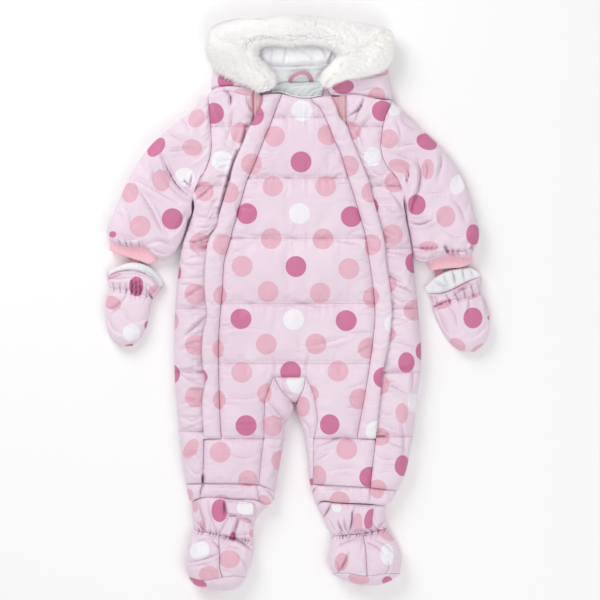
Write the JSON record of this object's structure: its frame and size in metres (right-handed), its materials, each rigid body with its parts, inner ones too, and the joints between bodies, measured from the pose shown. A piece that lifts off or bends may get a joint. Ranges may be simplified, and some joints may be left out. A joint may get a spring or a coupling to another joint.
{
  "type": "padded baby snowsuit",
  "caption": "Padded, quilted baby snowsuit laid flat, with a fur-trimmed hood, long zip flaps, knitted cuffs, mittens and booties.",
  "frame": {"origin": "on the floor under the middle of the suit's bounding box", "axes": "+X across the suit, +Y up it from the booties to the hood, +Z up from what it lies on, out of its front"},
  "size_m": [0.538, 0.8019, 0.0471],
  "materials": {
    "shell": "pink polyester satin with a print of dots",
    "rib": "rib knit",
    "fleece": "brushed fleece",
    "fur": "deep pile imitation fur",
    "tape": "woven tape"
  },
  "bodies": {
    "root": {"back": "shell", "front_centre": "shell", "crotch_gusset": "shell", "inner_leg_left": "shell", "inner_leg_right": "shell", "side_front_left": "shell", "side_front_right": "shell", "flap_left": "shell", "flap_right": "shell", "zip_left": "tape", "zip_right": "tape", "sleeve_left": "shell", "sleeve_right": "shell", "cuff_left": "rib", "cuff_right": "rib", "mitten_back_left": "shell", "mitten_back_right": "shell", "mitten_front_left": "shell", "mitten_front_right": "shell", "mitten_lining_left": "fleece", "mitten_lining_right": "fleece", "mitten_tape_left": "tape", "mitten_tape_right": "tape", "leg_band_left": "shell", "leg_band_right": "shell", "ankle_left": "shell", "ankle_right": "shell", "bootie_outer_left": "shell", "bootie_inner_left": "shell", "bootie_outer_right": "shell", "bootie_inner_right": "shell", "sole_left": "shell", "sole_right": "shell", "bootie_tab_left": "shell", "bootie_strap_left": "shell", "bootie_strap_right": "shell", "hood_back": "shell", "hood_side_left": "shell", "hood_side_right": "shell", "hood_lining": "fleece", "fur_trim": "fur", "collar_facing": "fleece", "neck_binding": "fleece", "hanger_loop": "shell"}
  },
  "joints": []
}
